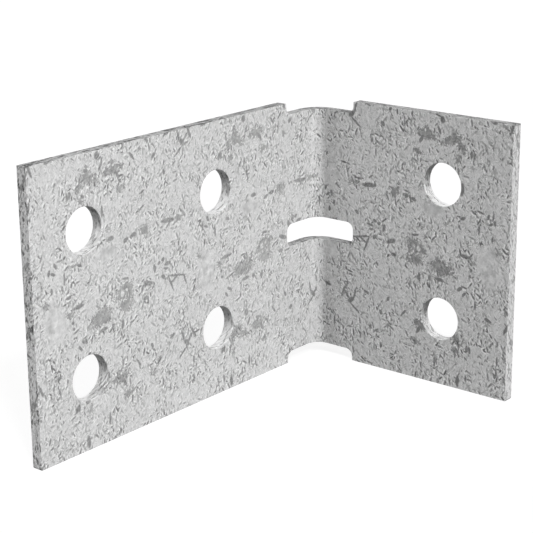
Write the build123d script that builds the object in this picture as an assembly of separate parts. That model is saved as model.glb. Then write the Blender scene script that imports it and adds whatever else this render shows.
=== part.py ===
from build123d import *

import os
from math import pi

# An angle bracket folded from one punched blank of galvanised steel sheet.
# All sizes are in millimetres. The bracket stands on its lower edges, +Z up,
# with the long leaf along X and the short leaf along Y, and its heel, where
# the planes of the two outer faces meet, on the +X +Y side. The origin is the
# centre of the box around it, on the surface that it stands on.

# Sheet and fold
sheet = 3.0
fold_radius = 3.5            # inside radius left by the press brake
neutral_share = 0.5          # depth of the line that keeps its length, as a share of the sheet

# Blank, measured flat from the fold line
height = 70.0
long_blank = 100.0
short_blank = 60.0

# Bolt holes: two columns in the long leaf, one in the short leaf
hole_diameter = 11.0         # clears an M10 bolt
row_spacing = 35.0
long_end_margin = 16.0       # end of the long leaf to its outer column
column_spacing = 44.0
short_end_margin = 20.0      # end of the short leaf to its column

# Relief across the fold: a slot at mid height and a notch in each edge
relief_length = 25.0         # measured along the blank, with the fold line at its middle
relief_corner = 2.0
slot_height = 6.0
notch_depth = 3.0

# What the fold does to the blank. The neutral line keeps its length round the
# bend, so each leaf stands out past its blank length by the same shift.
bend_allowance = pi / 2 * (fold_radius + neutral_share * sheet)
tangent = sheet + fold_radius                    # heel to where each leaf runs straight
fold_shift = tangent - bend_allowance / 2
long_leaf_length = long_blank + fold_shift       # heel to end, over the outside
short_leaf_length = short_blank + fold_shift

middle = height / 2
row_heights = (middle - row_spacing / 2, middle + row_spacing / 2)
long_columns = (
    -long_blank + long_end_margin,
    -long_blank + long_end_margin + column_spacing,
)
short_column = short_blank - short_end_margin


def punched_blank():
    """The flat blank with its holes, slot and notches. The fold line is at X = 0."""
    blank = Pos((short_blank - long_blank) / 2, middle) * Rectangle(
        long_blank + short_blank, height
    )
    for column in (*long_columns, short_column):
        for row in row_heights:
            blank -= Pos(column, row) * Circle(hole_diameter / 2)
    blank -= Pos(0, middle) * RectangleRounded(relief_length, slot_height, relief_corner)
    for edge in (0, height):
        blank -= Pos(0, edge) * RectangleRounded(relief_length, 2 * notch_depth, relief_corner)
    return blank


def leaf(blank, from_x, to_x, outer_face):
    """The flat stretch of the blank between two places, thickened inwards from its outer face."""
    stretch = Pos((from_x + to_x) / 2, middle) * Rectangle(to_x - from_x, height)
    return extrude(outer_face * (blank & stretch), amount=sheet, dir=outer_face.z_dir)


def fold():
    """The bent stretch: the bands left between the slot and the notches, turned through 90 degrees."""
    section_plane = Plane(
        origin=(-tangent, -sheet / 2, middle), x_dir=(0, 1, 0), z_dir=(1, 0, 0)
    )
    bands = Rectangle(sheet, height - 2 * notch_depth) - Rectangle(sheet, slot_height)
    bend_axis = Axis((-tangent, -tangent, 0), (0, 0, -1))
    return revolve(section_plane * bands, axis=bend_axis, revolution_arc=90)


def bracket():
    """The folded bracket, moved from its heel to the centre of its base."""
    blank = punched_blank()
    half_allowance = bend_allowance / 2
    long_outer_face = Plane(origin=(-fold_shift, 0, 0), x_dir=(1, 0, 0), z_dir=(0, -1, 0))
    short_outer_face = Plane(origin=(0, -fold_shift, 0), x_dir=(0, -1, 0), z_dir=(-1, 0, 0))
    long_leaf = leaf(blank, -long_blank, -half_allowance, long_outer_face)
    short_leaf = leaf(blank, half_allowance, short_blank, short_outer_face)
    folded = long_leaf + fold() + short_leaf
    return Pos(long_leaf_length / 2, short_leaf_length / 2, 0) * folded


angle_bracket = bracket()

os.makedirs("parts", exist_ok=True)
export_step(angle_bracket, "parts/angle_bracket.step")
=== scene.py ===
from math import atan2, pi, radians

import bpy
from mathutils import Euler, Matrix, Vector


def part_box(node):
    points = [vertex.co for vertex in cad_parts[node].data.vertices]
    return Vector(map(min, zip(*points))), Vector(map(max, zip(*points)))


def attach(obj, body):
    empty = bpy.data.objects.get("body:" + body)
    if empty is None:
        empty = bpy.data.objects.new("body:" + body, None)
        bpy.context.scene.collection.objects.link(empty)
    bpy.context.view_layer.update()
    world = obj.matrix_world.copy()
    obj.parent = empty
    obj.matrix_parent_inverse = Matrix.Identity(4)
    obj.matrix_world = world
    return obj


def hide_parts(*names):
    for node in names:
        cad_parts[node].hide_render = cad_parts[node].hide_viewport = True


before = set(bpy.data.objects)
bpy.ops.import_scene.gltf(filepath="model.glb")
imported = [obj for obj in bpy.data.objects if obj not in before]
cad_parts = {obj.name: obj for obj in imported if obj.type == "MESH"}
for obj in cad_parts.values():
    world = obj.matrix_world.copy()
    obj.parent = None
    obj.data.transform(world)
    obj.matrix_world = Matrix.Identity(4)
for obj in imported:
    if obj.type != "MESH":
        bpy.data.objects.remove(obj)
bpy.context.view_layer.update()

mm = 0.001

# The blank
# A rectangle sheared from 3 mm sheet that was galvanised in the coil. It is worked on lying
# flat in the XZ plane, with the start of the bend at X = 0 and mid thickness at Y = 0.
corner_low, corner_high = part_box("angle_bracket")
sheet = 3.0 * mm
fold_radius = 3.5 * mm
bend_allowance = pi / 2 * (fold_radius + sheet / 2)
tangent = sheet + fold_radius
height = corner_high.z - corner_low.z
long_flat = corner_high.x - corner_low.x - tangent
short_flat = corner_high.y - corner_low.y - tangent
blank_start = -long_flat
blank_end = bend_allowance + short_flat
fold_line = bend_allowance / 2

bpy.ops.object.select_all(action="DESELECT")
bpy.ops.mesh.primitive_cube_add(
    size=1,
    location=((blank_start + blank_end) / 2, 0, height / 2),
    scale=(blank_end - blank_start, sheet, height),
)
bracket = bpy.context.object
bracket.name = bracket.data.name = "folded_bracket"
bpy.ops.object.transform_apply(location=True, rotation=False, scale=True)

# The punching
# Six round holes, a slot across the fold line and a notch in each edge beside it, all
# punched in the flat before the sheet goes to the press brake.
hole_radius = 5.5 * mm
row_spacing = 35.0 * mm
columns = (-84.0 * mm, -40.0 * mm, 40.0 * mm)
relief_length = 25.0 * mm
relief_corner = 2.0 * mm
slot_height = 6.0 * mm
notch_depth = 3.0 * mm
punch_length = 3 * sheet
hole_sides = 96
corner_steps = 10
rows = (height / 2 - row_spacing / 2, height / 2 + row_spacing / 2)
hole_centres = [Vector((fold_line + column, row)) for row in rows for column in columns]


def hole_punch(centre):
    bpy.ops.mesh.primitive_cylinder_add(
        vertices=hole_sides, radius=hole_radius, depth=punch_length,
        location=(centre.x, 0, centre.y), rotation=(pi / 2, 0, 0),
    )
    return bpy.context.object


def relief_punch(z, tall):
    bpy.ops.mesh.primitive_cube_add(
        size=1, location=(fold_line, 0, z), scale=(relief_length, punch_length, tall)
    )
    punch = bpy.context.object
    bpy.ops.object.transform_apply(location=False, rotation=False, scale=True)
    bpy.ops.object.mode_set(mode="EDIT")
    bpy.ops.mesh.select_all(action="DESELECT")
    bpy.ops.object.mode_set(mode="OBJECT")
    for edge in punch.data.edges:
        start, end = (punch.data.vertices[i].co for i in edge.vertices)
        edge.select = abs(start.y - end.y) > sheet
    bpy.ops.object.mode_set(mode="EDIT")
    bpy.ops.mesh.select_mode(type="EDGE")
    bpy.ops.mesh.bevel(offset=relief_corner, segments=corner_steps, affect="EDGES")
    bpy.ops.object.mode_set(mode="OBJECT")
    return punch


punches = [hole_punch(centre) for centre in hole_centres]
punches.append(relief_punch(height / 2, slot_height))
punches.append(relief_punch(0, 2 * notch_depth))
punches.append(relief_punch(height, 2 * notch_depth))
bpy.ops.object.select_all(action="DESELECT")
for punch in punches:
    punch.select_set(True)
bpy.context.view_layer.objects.active = punches[0]
bpy.ops.object.join()
punch_set = bpy.context.object

bpy.ops.object.select_all(action="DESELECT")
bracket.select_set(True)
bpy.context.view_layer.objects.active = bracket
punching = bracket.modifiers.new("punching", "BOOLEAN")
punching.operation = "DIFFERENCE"
punching.solver = "EXACT"
punching.object = punch_set
bpy.ops.object.modifier_apply(modifier=punching.name)
bpy.data.objects.remove(punch_set)

# The edges
# Shearing and punching roll every edge over a little, round the blank and in its holes, and
# the zinc softens it further.
edge_round = 0.16 * mm
rolled_edges = bracket.modifiers.new("rolled edges", "BEVEL")
rolled_edges.width = edge_round
rolled_edges.segments = 3
rolled_edges.limit_method = "ANGLE"
rolled_edges.angle_limit = radians(40)
bpy.ops.object.modifier_apply(modifier=rolled_edges.name)

# The fold
# The press brake bends the bands left between the slot and the notches through a right
# angle. Mid thickness keeps its length, and each leaf stays flat beyond the bend.
bend_steps = 24
bpy.ops.object.mode_set(mode="EDIT")
for step in range(bend_steps + 1):
    bpy.ops.mesh.select_all(action="SELECT")
    bpy.ops.mesh.bisect(plane_co=(bend_allowance * step / bend_steps, 0, 0), plane_no=(1, 0, 0))
bpy.ops.object.mode_set(mode="OBJECT")

# Each point remembers its place on the flat blank, so that the zinc runs round the fold.
flat_points = [0.0] * (3 * len(bracket.data.vertices))
bracket.data.vertices.foreach_get("co", flat_points)
blank_place = bracket.data.attributes.new("blank_place", "FLOAT_VECTOR", "POINT")
blank_place.data.foreach_set("vector", flat_points)

# The walls of the six holes were burnished by the punch, so they are marked for the finish,
# without the rolled rims at both ends of a hole.
rim = 0.1 * mm
slack = 0.01 * mm
punched_wall = bracket.data.attributes.new("punched_wall", "FLOAT", "POINT")
for vertex, mark in zip(bracket.data.vertices, punched_wall.data):
    place = Vector((vertex.co.x, vertex.co.z))
    in_hole = min((place - centre).length for centre in hole_centres) < hole_radius + slack
    mark.value = float(in_hole and abs(vertex.co.y) < sheet / 2 - rim)

folding = bracket.modifiers.new("folding", "SIMPLE_DEFORM")
folding.deform_method = "BEND"
folding.deform_axis = "Z"
folding.angle = -pi / 2
blank_length = blank_end - blank_start
folding.limits = (-blank_start / blank_length, (bend_allowance - blank_start) / blank_length)
bpy.ops.object.modifier_apply(modifier=folding.name)
bracket.location = (corner_high.x - tangent, corner_high.y - sheet / 2, corner_low.z)
bpy.ops.object.transform_apply(location=True, rotation=False, scale=False)

bpy.ops.object.shade_smooth()
weighting = bracket.modifiers.new("flat faces first", "WEIGHTED_NORMAL")
weighting.weight = 100
bpy.ops.object.modifier_apply(modifier=weighting.name)

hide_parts("angle_bracket")
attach(bracket, "root")

# The zinc
# Hot dipped zinc that has set in small feathery crystals and gone dull in store. The same
# clusters of dark crystals come back every 50 mm, as on the real sheet.


def put(tree, kind, sockets=None, **settings):
    """Adds a node, gives it its settings, and joins or fills the sockets that are named."""
    made = tree.nodes.new(kind)
    for setting, value in settings.items():
        setattr(made, setting, value)
    for socket, value in (sockets or {}).items():
        if isinstance(value, bpy.types.NodeSocket):
            tree.links.new(value, made.inputs[socket])
        else:
            made.inputs[socket].default_value = value
    return made


def calc(tree, operation, *terms):
    """A Math node over its terms, each of them a socket or a number."""
    return put(tree, "ShaderNodeMath", dict(enumerate(terms)), operation=operation).outputs[0]


def calc_vector(tree, operation, *terms):
    """A Vector Math node over its terms, each of them a socket or three numbers."""
    made = put(tree, "ShaderNodeVectorMath", dict(enumerate(terms)), operation=operation)
    return made.outputs["Value" if operation == "LENGTH" else "Vector"]


def ramp(tree, value, start, end, low=0.0, high=1.0):
    """Runs smoothly from low to high while the value runs from start to end."""
    return put(
        tree, "ShaderNodeMapRange",
        {"Value": value, "From Min": start, "From Max": end, "To Min": low, "To Max": high},
        interpolation_type="SMOOTHSTEP",
    ).outputs["Result"]


def mix(tree, share, first, second):
    """Goes from the first value to the second while share goes from 0 to 1."""
    return put(
        tree, "ShaderNodeMix", {"Factor": share, "A": first, "B": second}
    ).outputs["Result"]


def turn_on_sheet(tree, vector, angle):
    """Turns a place on the sheet within the plane of the sheet."""
    return put(
        tree, "ShaderNodeVectorRotate", {"Vector": vector, "Angle": angle}, rotation_type="Z_AXIS"
    ).outputs["Vector"]


# How far a place is from one dark crystal, in half widths of that crystal, or from an earlier
# one where that is nearer.
crystal_group = bpy.data.node_groups.new("dark crystal", "ShaderNodeTree")
for socket, kind in (
    ("Place", "Vector"), ("Centre", "Vector"), ("Half Size", "Vector"), ("Turn", "Float"),
    ("Nearest So Far", "Float"),
):
    crystal_group.interface.new_socket(socket, in_out="INPUT", socket_type="NodeSocket" + kind)
crystal_group.interface.new_socket("Nearest", in_out="OUTPUT", socket_type="NodeSocketFloat")
given = put(crystal_group, "NodeGroupInput").outputs
apart = calc_vector(crystal_group, "SUBTRACT", given["Place"], given["Centre"])
turned = turn_on_sheet(crystal_group, apart, given["Turn"])
from_crystal = calc_vector(crystal_group, "DIVIDE", turned, given["Half Size"])
nearest = calc(
    crystal_group, "MINIMUM", calc_vector(crystal_group, "LENGTH", from_crystal),
    given["Nearest So Far"],
)
put(crystal_group, "NodeGroupOutput", {"Nearest": nearest})

zinc = bpy.data.materials.new("zinc")
zinc.use_nodes = True
tree = zinc.node_tree
blank = put(tree, "ShaderNodeAttribute", attribute_name="blank_place").outputs["Vector"]
on_blank = calc_vector(tree, "MULTIPLY", blank, (1 / mm, 1 / mm, 1 / mm))
axes = put(tree, "ShaderNodeSeparateXYZ", {"Vector": on_blank}).outputs
along, through, up = axes["X"], axes["Y"], axes["Z"]
half_sheet = sheet / 2 / mm
outer_side = calc(tree, "GREATER_THAN", through, half_sheet - 0.1)
past_the_fold = calc(tree, "GREATER_THAN", along, fold_line / mm)
cut_face = ramp(tree, calc(tree, "ABSOLUTE", through), half_sheet - 0.02, half_sheet - 0.14)
# The crystals run on over the edges: depth carries the pattern across the cut faces.
depth = calc(tree, "ADD", through, half_sheet)


def place_on_sheet(place, step, rise):
    """A place in the pattern. The outer side shows another stretch, a step and a rise away."""
    along_sheet = calc(tree, "MULTIPLY_ADD", outer_side, step, calc(tree, "ADD", place, depth))
    up_sheet = calc(tree, "MULTIPLY_ADD", outer_side, rise, calc(tree, "ADD", up, depth))
    return put(
        tree, "ShaderNodeCombineXYZ", {"X": along_sheet, "Y": up_sheet}
    ).outputs["Vector"]


def noise(place, scale, detail=0.0, roughness=0.5, dimensions="2D"):
    """Soft random variation: one number from 0 to 1 in its Fac, and three in its Color."""
    return put(
        tree, "ShaderNodeTexNoise",
        {"Vector": place, "Scale": scale, "Detail": detail, "Roughness": roughness},
        noise_dimensions=dimensions,
    ).outputs


on_sheet = place_on_sheet(along, 400.0, 400.0)

# The fine crystals: each grain of the zinc lies its own way, and its feathers run that way.
wander = calc_vector(tree, "SUBTRACT", noise(on_sheet, 0.35)["Color"], (0.5, 0.5, 0.5))
wandered = calc_vector(tree, "MULTIPLY_ADD", wander, (1.6, 1.6, 0), on_sheet)


def grains(place, grain_size):
    """The nearest grain: its middle, and three random numbers that are its own."""
    cell = put(
        tree, "ShaderNodeTexVoronoi", {"Vector": place, "Scale": 1 / grain_size},
        voronoi_dimensions="2D",
    ).outputs
    chance = put(tree, "ShaderNodeSeparateColor", {"Color": cell["Color"]}).outputs
    return cell["Position"], chance["Red"], chance["Green"], chance["Blue"]


def lean(chance):
    """How far a crystal leans from upright, in radians: mostly a little, and more to one side."""
    side = calc(tree, "SUBTRACT", chance, 0.5)
    reach = calc(tree, "MULTIPLY_ADD", calc(tree, "ABSOLUTE", side), 2.6, 1.2)
    common_lean = calc(tree, "MULTIPLY_ADD", past_the_fold, -0.6, 0.3)
    return calc(tree, "MULTIPLY_ADD", side, reach, common_lean)


def feathers(grain_size, across, lengthwise, start):
    """Fine parallel streaks that turn from grain to grain, upright more often than level."""
    place = calc_vector(tree, "ADD", wandered, (start, start, 0))
    chance = grains(place, grain_size)[1]
    turned = turn_on_sheet(tree, place, lean(chance))
    drawn_out = calc_vector(tree, "MULTIPLY", turned, (across, lengthwise, 0))
    return noise(drawn_out, 1.0, 1.0)["Fac"]


def needles(spacing, half_width, half_length, share, start):
    """Short dark needles, one to a grain in a share of the grains, and a light one beside each."""
    place = calc_vector(tree, "ADD", on_sheet, (start, 2 * start, 0))
    middle, turn, chance, strength = grains(place, spacing)
    apart = calc_vector(tree, "SUBTRACT", place, middle)
    turned = turn_on_sheet(tree, apart, lean(turn))
    reach = calc_vector(tree, "MULTIPLY", turned, (1 / half_width, 1 / half_length, 0))
    beside = calc_vector(tree, "ADD", reach, (2.0, 0, 0))
    chosen = calc(tree, "LESS_THAN", chance, share)
    depth = calc(
        tree, "MULTIPLY", chosen,
        calc(tree, "MULTIPLY_ADD", calc(tree, "MULTIPLY", strength, strength), 0.95, 0.3),
    )
    return [
        calc(tree, "MULTIPLY", depth, ramp(tree, calc_vector(tree, "LENGTH", line), 1.25, 0.6))
        for line in (reach, beside)
    ]


coarse_feathers = feathers(2.4, 1.9, 0.7, 0.0)
fine_feathers = feathers(1.6, 2.7, 1.2, 31.0)
crowding = noise(on_sheet, 0.17, 2.0)["Fac"]
share = ramp(tree, crowding, 0.35, 0.65, 0.25, 0.75)
dark_needles, light_needles = needles(1.4, 0.23, 0.72, share, 7.0)
for spacing, half_width, half_length, start in ((1.1, 0.21, 0.46, 19.0), (2.2, 0.27, 1.15, 57.0)):
    dark, light = needles(spacing, half_width, half_length, share, start)
    dark_needles = calc(tree, "MAXIMUM", dark_needles, dark)
    light_needles = calc(tree, "MAXIMUM", light_needles, light)

# The curled crystals: short pieces of the lines along which a smooth noise keeps its height.
curl = noise(calc_vector(tree, "MULTIPLY", on_sheet, (1.15, 0.85, 0)), 0.6)["Fac"]
breaks = noise(calc_vector(tree, "ADD", on_sheet, (83, 83, 0)), 1.0)["Fac"]
wave = calc(
    tree, "MULTIPLY", calc(tree, "SINE", calc(tree, "MULTIPLY", curl, 30.0)),
    ramp(tree, breaks, 0.48, 0.60),
)
dark_curls = ramp(tree, wave, 0.3, 0.95)
light_curls = ramp(tree, wave, -0.3, -0.95)

# The clusters of dark crystals, placed in millimetres from the heel of the long leaf and up
# from the foot. The short leaf starts at another place of the same repeat.
repeat = 50.0
short_leaf_start = 38.15
long_leaf_place = calc(tree, "SUBTRACT", tangent / mm, along)
short_leaf_place = calc(tree, "ADD", along, short_leaf_start)
from_heel_and_foot = place_on_sheet(
    mix(tree, past_the_fold, long_leaf_place, short_leaf_place), 23.0, 31.0
)
off_true = calc_vector(tree, "SUBTRACT", noise(on_sheet, 0.9, 3.0, 0.7)["Color"], (0.5, 0.5, 0.5))


def on_repeat(raggedness):
    """The place within the repeat, moved to and fro to roughen the rims of the crystals."""
    moved = calc_vector(
        tree, "MULTIPLY_ADD", off_true, (raggedness, raggedness, 0), from_heel_and_foot
    )
    return calc_vector(tree, "WRAP", moved, (repeat, repeat, repeat), (0, 0, 0))


# Each crystal: from the heel and height of one end, the same of the other end, and half width.
broad_crystals = (
    (36.5, 14.6, 33.5, 13.9, 1.1), (36.8, 14.3, 37.9, 11.9, 0.75), (34, 13.9, 32.1, 13.2, 0.6),
    (35, 14.8, 35.3, 16.6, 0.7), (29.2, 14.4, 25, 15, 1.1), (27.2, 15.3, 27, 16.3, 0.8),
    (35, 30.6, 30, 31.3, 1.6), (31.3, 32.2, 31, 33.1, 0.8), (22.8, 36.3, 22.5, 33.8, 0.6),
    (26.6, 34.4, 22.9, 36.3, 1.4), (25.8, 31.9, 23, 31.9, 1.3), (18.3, 48.9, 16.9, 48.2, 1.2),
    (6.4, 49.1, 5.3, 49.1, 0.8), (4.4, 49.2, 3.6, 49.4, 0.6), (42.3, 33.8, 41.1, 33.9, 0.6),
    (25.6, 9.7, 23.8, 10.3, 0.7), (16.7, 12.7, 15.8, 12.2, 0.5), (37.3, 9.1, 36.6, 10.3, 0.6),
    (49.5, 38.1, 48.6, 37.5, 0.6),
)
slender_crystals = (
    (26.2, 14.1, 25.3, 12.5, 0.44), (33, 27.7, 30.8, 28, 0.44), (28.8, 28.4, 28.9, 27.3, 0.39),
    (18, 35.7, 15.8, 34.9, 0.55), (29.2, 48.9, 27.8, 48.9, 0.55), (24.2, 47.2, 23.1, 47.7, 0.44),
    (21.9, 48, 20.6, 48.3, 0.5), (11.7, 49.2, 7.8, 48.9, 0.55), (10, 35.3, 8.3, 31.4, 0.28),
    (10, 35.4, 4.5, 34.4, 0.28), (9.1, 33.4, 6.9, 34.8, 0.28), (4.7, 34.5, 3.8, 32.1, 0.28),
    (11.1, 38.4, 9.4, 38.8, 0.33), (11.3, 37.5, 10, 37.3, 0.28), (14.7, 39.1, 14.5, 37.7, 0.5),
    (13.3, 39.2, 12.8, 39.5, 0.44), (12, 39.7, 11.4, 40, 0.44), (12, 35.8, 11.3, 35.3, 0.5),
    (18.3, 31.8, 17.2, 31.9, 0.5), (25.2, 38.4, 23.4, 38.2, 0.28), (31.7, 19.4, 32, 18.3, 0.61),
    (40.8, 35.1, 37.8, 35.5, 0.44), (41.1, 32.2, 41.1, 31.7, 0.39), (40.9, 30.6, 40.9, 30.3, 0.39),
    (38, 3.4, 37.9, 0.9, 0.55), (30.9, 6.9, 30.9, 4.4, 0.33), (6.4, 40.9, 5.5, 41.6, 0.33),
    (14.2, 15.2, 13.6, 15.9, 0.5), (16.4, 20, 15.9, 19.2, 0.39), (47, 41.3, 47, 40.3, 0.33),
    (47.2, 19.8, 45.6, 20.3, 0.44), (43.1, 44.1, 43.1, 41.6, 0.28), (47.5, 45.6, 47.7, 44.5, 0.33),
    (25.6, 28.4, 25.8, 26.6, 0.44), (10.6, 11.3, 10.6, 10.5, 0.39), (21.6, 17.5, 20.3, 15.9, 0.28),
    (15.1, 5, 14.9, 5, 0.33), (30.6, 16.9, 31.3, 15.3, 0.33), (3, 22, 2.7, 20.4, 0.22),
    (5.7, 20.3, 5.1, 17.5, 0.3), (2.2, 20.2, 1.1, 17.6, 0.36), (2.3, 18.8, 3.6, 17.3, 0.36),
    (4.7, 17.5, 3.6, 16.4, 0.6), (4, 16.1, 6.9, 13.8, 0.26), (9.8, 19.8, 8.5, 20.4, 0.38),
    (40.4, 11.9, 40.5, 10.6, 0.38), (41.2, 11.7, 41.3, 10.4, 0.38), (38.6, 27, 37.4, 26.2, 0.38),
    (39.6, 25.9, 38.9, 24.9, 0.33), (45.9, 46.9, 45.4, 45.9, 0.38), (46.9, 44.9, 45.9, 44.4, 0.33),
    (38.9, 45.1, 37.9, 44.6, 0.38),
)
faint_crystals = (
    (31.3, 45.6, 27.5, 45.8, 1.3), (46.2, 35, 48.2, 31.2, 0.7), (48.8, 38.8, 46.8, 36, 0.6),
)
light_crystals = (
    (25.6, 34.9, 25.2, 34.8, 0.75), (24.1, 35.6, 23.8, 35.4, 0.4), (26.9, 15.7, 26.7, 15.6, 0.3),
)
calm_stretches = (
    (46.9, 36.5, 46.3, 29.5, 3), (32, 45.6, 27.5, 45.8, 1.6),
)


def cluster(crystals, place):
    """How far a place is from the nearest of some crystals, in half widths of that crystal."""
    nearest = None
    for end_place, end_height, other_place, other_height, half_width in crystals:
        reach = Vector((other_place - end_place, other_height - end_height))
        crystal = put(tree, "ShaderNodeGroup", node_tree=crystal_group)
        crystal.inputs["Centre"].default_value = (
            (end_place + other_place) / 2, (end_height + other_height) / 2, 0
        )
        crystal.inputs["Half Size"].default_value = ((reach.length + half_width) / 2, half_width, 1)
        crystal.inputs["Turn"].default_value = -atan2(reach.y, reach.x)
        crystal.inputs["Nearest So Far"].default_value = 9.0
        tree.links.new(place, crystal.inputs["Place"])
        if nearest:
            tree.links.new(nearest, crystal.inputs["Nearest So Far"])
        nearest = crystal.outputs["Nearest"]
    return nearest


very_ragged, slightly_ragged = on_repeat(2.8), on_repeat(0.6)
feathered_rim = calc(tree, "MULTIPLY_ADD", fine_feathers, 1.8, -1.0)
broad = ramp(
    tree, calc(tree, "ADD", cluster(broad_crystals, very_ragged), feathered_rim), 1.25, 0.85
)
slender = ramp(tree, cluster(slender_crystals, slightly_ragged), 1.35, 0.8)
faint = ramp(tree, cluster(faint_crystals, very_ragged), 1.5, 0.5)
patchy = noise(on_sheet, 0.55, 2.0)["Fac"]
broad_depth = calc(tree, "MULTIPLY", broad, ramp(tree, patchy, 0.35, 0.55, 0.13, 0.21))
calm = ramp(tree, cluster(calm_stretches, very_ragged), 1.4, 0.7)
light_spots = ramp(tree, cluster(light_crystals, slightly_ragged), 1.3, 0.7)

# The cut faces: sheared steel with a thin skin of zinc, streaked along the cut.
streak_place = calc_vector(tree, "MULTIPLY", on_blank, (0.4, 1.5, 0.65))
streaks = noise(streak_place, 1.0, 2.0, 0.6, "3D")["Fac"]
dark_streaks = ramp(tree, streaks, 0.46, 0.36)

# How pale the zinc looks, from 0 for black to 1 for white, before it is made a colour.
plain_tone = 0.854
crystal_depth = 0.24
mottle = noise(on_sheet, 0.12, 1.0)["Fac"]
tone = calc(tree, "MULTIPLY_ADD", calc(tree, "SUBTRACT", mottle, 0.5), 0.03, plain_tone)
tone = calc(
    tree, "MULTIPLY_ADD", calc(tree, "SUBTRACT", patchy, 0.5),
    calc(tree, "MULTIPLY_ADD", calm, 0.2, 0.1), tone,
)
liveliness = calc(
    tree, "MULTIPLY", calc(tree, "MULTIPLY_ADD", calm, -0.75, 1.0),
    ramp(tree, crowding, 0.35, 0.65, 0.75, 1.2),
)
for feather, start, end, change in (
    (coarse_feathers, 0.48, 0.32, -0.045), (fine_feathers, 0.48, 0.32, -0.045),
    (coarse_feathers, 0.53, 0.68, 0.03), (fine_feathers, 0.53, 0.68, 0.03),
):
    feathering = calc(tree, "MULTIPLY", ramp(tree, feather, start, end, 0.0, change), liveliness)
    tone = calc(tree, "ADD", tone, feathering)
lights = calc(tree, "MULTIPLY", calc(tree, "MAXIMUM", light_needles, light_curls), liveliness)
tone = calc(tree, "MULTIPLY_ADD", calc(tree, "MAXIMUM", lights, light_spots), 0.07, tone)
strokes = calc(tree, "MAXIMUM", dark_needles, calc(tree, "MULTIPLY", dark_curls, 0.5))
stroke_depth = calc(tree, "MULTIPLY", strokes, calc(tree, "MULTIPLY", liveliness, crystal_depth))
slender_depth = calc(tree, "MULTIPLY", slender, crystal_depth)
faint_depth = calc(tree, "MULTIPLY", faint, 0.06)
cluster_depth = calc(
    tree, "MULTIPLY",
    calc(tree, "MAXIMUM", broad_depth, calc(tree, "MAXIMUM", slender_depth, faint_depth)),
    calc(tree, "SUBTRACT", 1.1, light_spots),
)
dark = calc(tree, "MAXIMUM", stroke_depth, cluster_depth)
dark = calc(tree, "MULTIPLY", dark, calc(tree, "MULTIPLY_ADD", past_the_fold, 0.2, 1.0))
tone = calc(tree, "SUBTRACT", tone, dark)
crystal_tone = calc(tree, "SUBTRACT", tone, 0.81)
# Painted shade round the fold: the zinc is painted darker near the fold on both leaves, and most
# where the bend runs out into the short leaf.
painted_fold_end_shade = calc(tree, "MULTIPLY", ramp(tree, along, 5.4, 7.6), ramp(tree, along, 14.0, 7.5))
tone = calc(tree, "MULTIPLY_ADD", painted_fold_end_shade, -0.06, tone)
painted_near_fold_shade = ramp(tree, calc(tree, "ABSOLUTE", calc(tree, "SUBTRACT", along, 4.0)), 24.0, 6.0)
tone = calc(tree, "MULTIPLY_ADD", painted_near_fold_shade, -0.025, tone)
# Painted shade: the zinc is also painted a little darker towards the foot.
tone = calc(tree, "SUBTRACT", tone, ramp(tree, up, 45.0, 0.0, 0.0, 0.022))


def towards_fold(at_end, at_fold):
    """A value that changes along the long leaf, and stays from the fold on."""
    return ramp(tree, along, -60.0, 0.0, at_end, at_fold)


# The sheared ends are the plain cut faces, given painted light towards the end of the long leaf.
# The upper and lower edges carry painted shade, and the edges of the slot and notches carry painted
# shade that darkens towards the short leaf.
cut_tone = calc(
    tree, "SUBTRACT", towards_fold(0.915, 0.825),
    calc(tree, "MULTIPLY", dark_streaks, towards_fold(0.4, 0.15)),
)
# Painted shade on the upper and lower edges: their tone is lowered as if less light fell on them.
middle = height / 2 / mm
from_middle = calc(tree, "ABSOLUTE", calc(tree, "SUBTRACT", up, middle))
painted_edge_shade = ramp(tree, from_middle, middle - 0.5, middle - 0.2)
painted_edge_shade_depth = calc(
    tree, "MULTIPLY_ADD", ramp(tree, streaks, 0.53, 0.43), 0.2,
    calc(tree, "MULTIPLY_ADD", dark_streaks, -0.15, ramp(tree, along, -50.0, 40.0, 0.18, 0.1)),
)
cut_tone = calc(tree, "SUBTRACT", cut_tone, calc(tree, "MULTIPLY", painted_edge_shade, painted_edge_shade_depth))
# Painted shade in the slot and notches: their cut faces are darkened, most towards the short leaf.
past_fold_line = calc(tree, "SUBTRACT", along, fold_line / mm)
half_relief = relief_length / 2 / mm + 0.1
in_relief = calc(tree, "LESS_THAN", calc(tree, "ABSOLUTE", past_fold_line), half_relief)
painted_relief_shade = calc(
    tree, "MULTIPLY_ADD", dark_streaks, 0.12,
    calc(tree, "MULTIPLY_ADD", ramp(tree, past_fold_line, 4.0, 12.5), 0.15, 0.12),
)
cut_tone = calc(tree, "SUBTRACT", cut_tone, calc(tree, "MULTIPLY", in_relief, painted_relief_shade))
cut_tone = calc(tree, "MULTIPLY_ADD", crystal_tone, towards_fold(1.1, 0.65), cut_tone)
# Painted shade and painted light in the holes: the upper side of each hole wall is painted darker
# and the lower side lighter, the more so in the short leaf.
row_pitch = row_spacing / mm
above_centre = calc(tree, "SUBTRACT", calc(tree, "WRAP", up, row_pitch, 0.0), row_pitch / 2)
bore_light_and_shade = calc(
    tree, "MULTIPLY", ramp(tree, above_centre, -4.0, 4.0, -1.0, 1.4),
    calc(tree, "MULTIPLY_ADD", past_the_fold, 0.05, 0.06),
)
bore_tone = calc(
    tree, "MULTIPLY_ADD", dark_streaks, -0.24, calc(tree, "MULTIPLY_ADD", crystal_tone, 0.7, 0.89)
)
bore_tone = calc(tree, "SUBTRACT", bore_tone, bore_light_and_shade)
punched = put(tree, "ShaderNodeAttribute", attribute_name="punched_wall").outputs["Fac"]
tone = mix(tree, cut_face, tone, mix(tree, punched, cut_tone, bore_tone))
colour = calc(tree, "POWER", tone, 2.2)

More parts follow.
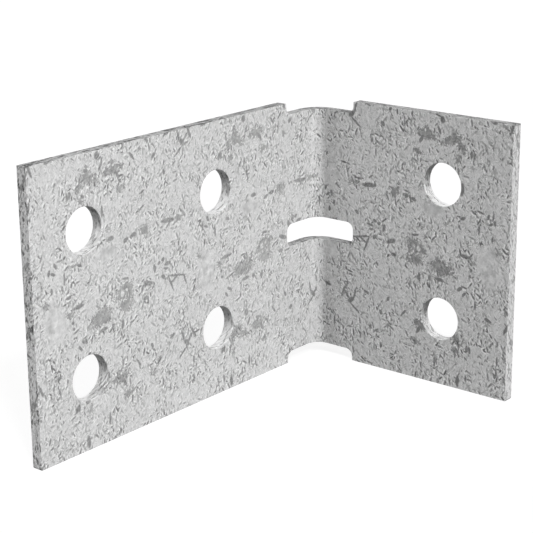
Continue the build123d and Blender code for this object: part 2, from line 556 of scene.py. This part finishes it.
# Dark crystals are duller than the pale zinc, and the cut faces are the dullest.
dullness = mix(tree, cut_face, ramp(tree, tone, 0.85, 0.55, 0.48, 0.7), 0.85)
shine = mix(tree, cut_face, ramp(tree, tone, 0.55, 0.85, 0.06, 0.2), 0.0)
feather_height = calc(tree, "MULTIPLY_ADD", coarse_feathers, 0.6, fine_feathers)
relief = put(
    tree, "ShaderNodeBump", {"Height": feather_height, "Strength": 1.0, "Distance": 0.03 * mm}
).outputs["Normal"]
shader = tree.nodes["Principled BSDF"]
shader.inputs["Specular IOR Level"].default_value = 0.15
for socket, value in (
    ("Base Color", colour), ("Roughness", dullness), ("Metallic", shine), ("Normal", relief)
):
    tree.links.new(value, shader.inputs[socket])
bracket.data.materials.append(zinc)

# The floor
# A wide sheet of pale paper under the bracket. Seen directly or in a reflection it is lit up to
# white, and it keeps the soft shadow round the bracket's feet.
bpy.ops.object.select_all(action="DESELECT")
bpy.ops.mesh.primitive_plane_add(size=6)
floor = bpy.context.object
floor.name = floor.data.name = "studio_floor"


def looked_at(tree):
    """1 for what is seen directly, in a reflection or through glass, and 0 for the rest."""
    ray = put(tree, "ShaderNodeLightPath").outputs
    direct_or_mirrored = calc(tree, "MAXIMUM", ray["Is Camera Ray"], ray["Is Glossy Ray"])
    return calc(tree, "MAXIMUM", direct_or_mirrored, ray["Is Transmission Ray"])


paper_grey = (0.22, 0.22, 0.22, 1)
paper_glow = 0.86
paper = bpy.data.materials.new("floor paper")
paper.use_nodes = True
paper.node_tree.nodes.remove(paper.node_tree.nodes["Principled BSDF"])
plain_paper = put(paper.node_tree, "ShaderNodeBsdfDiffuse", {"Color": paper_grey})
shadow_catching = put(paper.node_tree, "ShaderNodeBsdfDiffuse", {"Color": paper_grey})
paper_white = put(paper.node_tree, "ShaderNodeEmission", {"Strength": paper_glow})
white_with_shadow = put(
    paper.node_tree, "ShaderNodeAddShader",
    {0: shadow_catching.outputs[0], 1: paper_white.outputs[0]},
)
paper_mix = put(
    paper.node_tree, "ShaderNodeMixShader",
    {0: looked_at(paper.node_tree), 1: plain_paper.outputs[0], 2: white_with_shadow.outputs[0]},
)
paper.node_tree.links.new(
    paper_mix.outputs[0], paper.node_tree.nodes["Material Output"].inputs["Surface"]
)
floor.data.materials.append(paper)

# The light
# A soft white room, as bright as the paper where it is seen or mirrored and dimmer as a light.
# A key lamp faces the long leaf, two higher ones stand to its left, a weak one faces the short
# leaf, and a low broad one lights the back.
studio = bpy.data.worlds.new("studio")
bpy.context.scene.world = studio
studio.use_nodes = True
room_light = 0.08
room_level = mix(studio.node_tree, looked_at(studio.node_tree), room_light, 1.0)
room = studio.node_tree.nodes["Background"]
room.inputs["Color"].default_value = (1, 1, 1, 1)
studio.node_tree.links.new(room_level, room.inputs["Strength"])

for name, energy, softness, azimuth, elevation in (
    # azimuth from the -Y side towards the -X side, both in degrees
    ("key_lamp", 1.45, 10, 0, 8),
    ("high_lamp", 1.25, 10, 30, 45),
    ("left_lamp", 0.85, 10, 60, 60),
    ("side_lamp", 0.3, 30, 115, 35),
    ("back_lamp", 1.8, 40, 222, 6),
):
    sun = bpy.data.lights.new(name, "SUN")
    sun.energy = energy
    sun.angle = radians(softness)
    lamp = bpy.data.objects.new(name, sun)
    bpy.context.scene.collection.objects.link(lamp)
    lamp.rotation_euler = (radians(90 - elevation), 0, radians(-azimuth))

# The camera
# It stands where the photograph was taken from, with a long lens, and is turned a hair off
# level. The shift puts the bracket where the photograph's frame has it.
tilt_down = 16.3287
heading = 50.7099
roll = 0.4019
camera_data = bpy.data.cameras.new("camera")
camera_data.lens = 105.195
camera_data.shift_x = -0.0375
camera_data.shift_y = -0.0375
camera_data.clip_start = 0.01
camera = bpy.data.objects.new("camera", camera_data)
bpy.context.scene.collection.objects.link(camera)
camera.location = (-0.264996, -0.217831, 0.146232)
aim = Euler((radians(90 - tilt_down), 0, radians(-heading))).to_matrix()
camera.rotation_euler = (aim @ Matrix.Rotation(radians(-roll), 3, "Z")).to_euler()
bpy.context.scene.camera = camera

bpy.context.scene.view_settings.view_transform = "Standard"
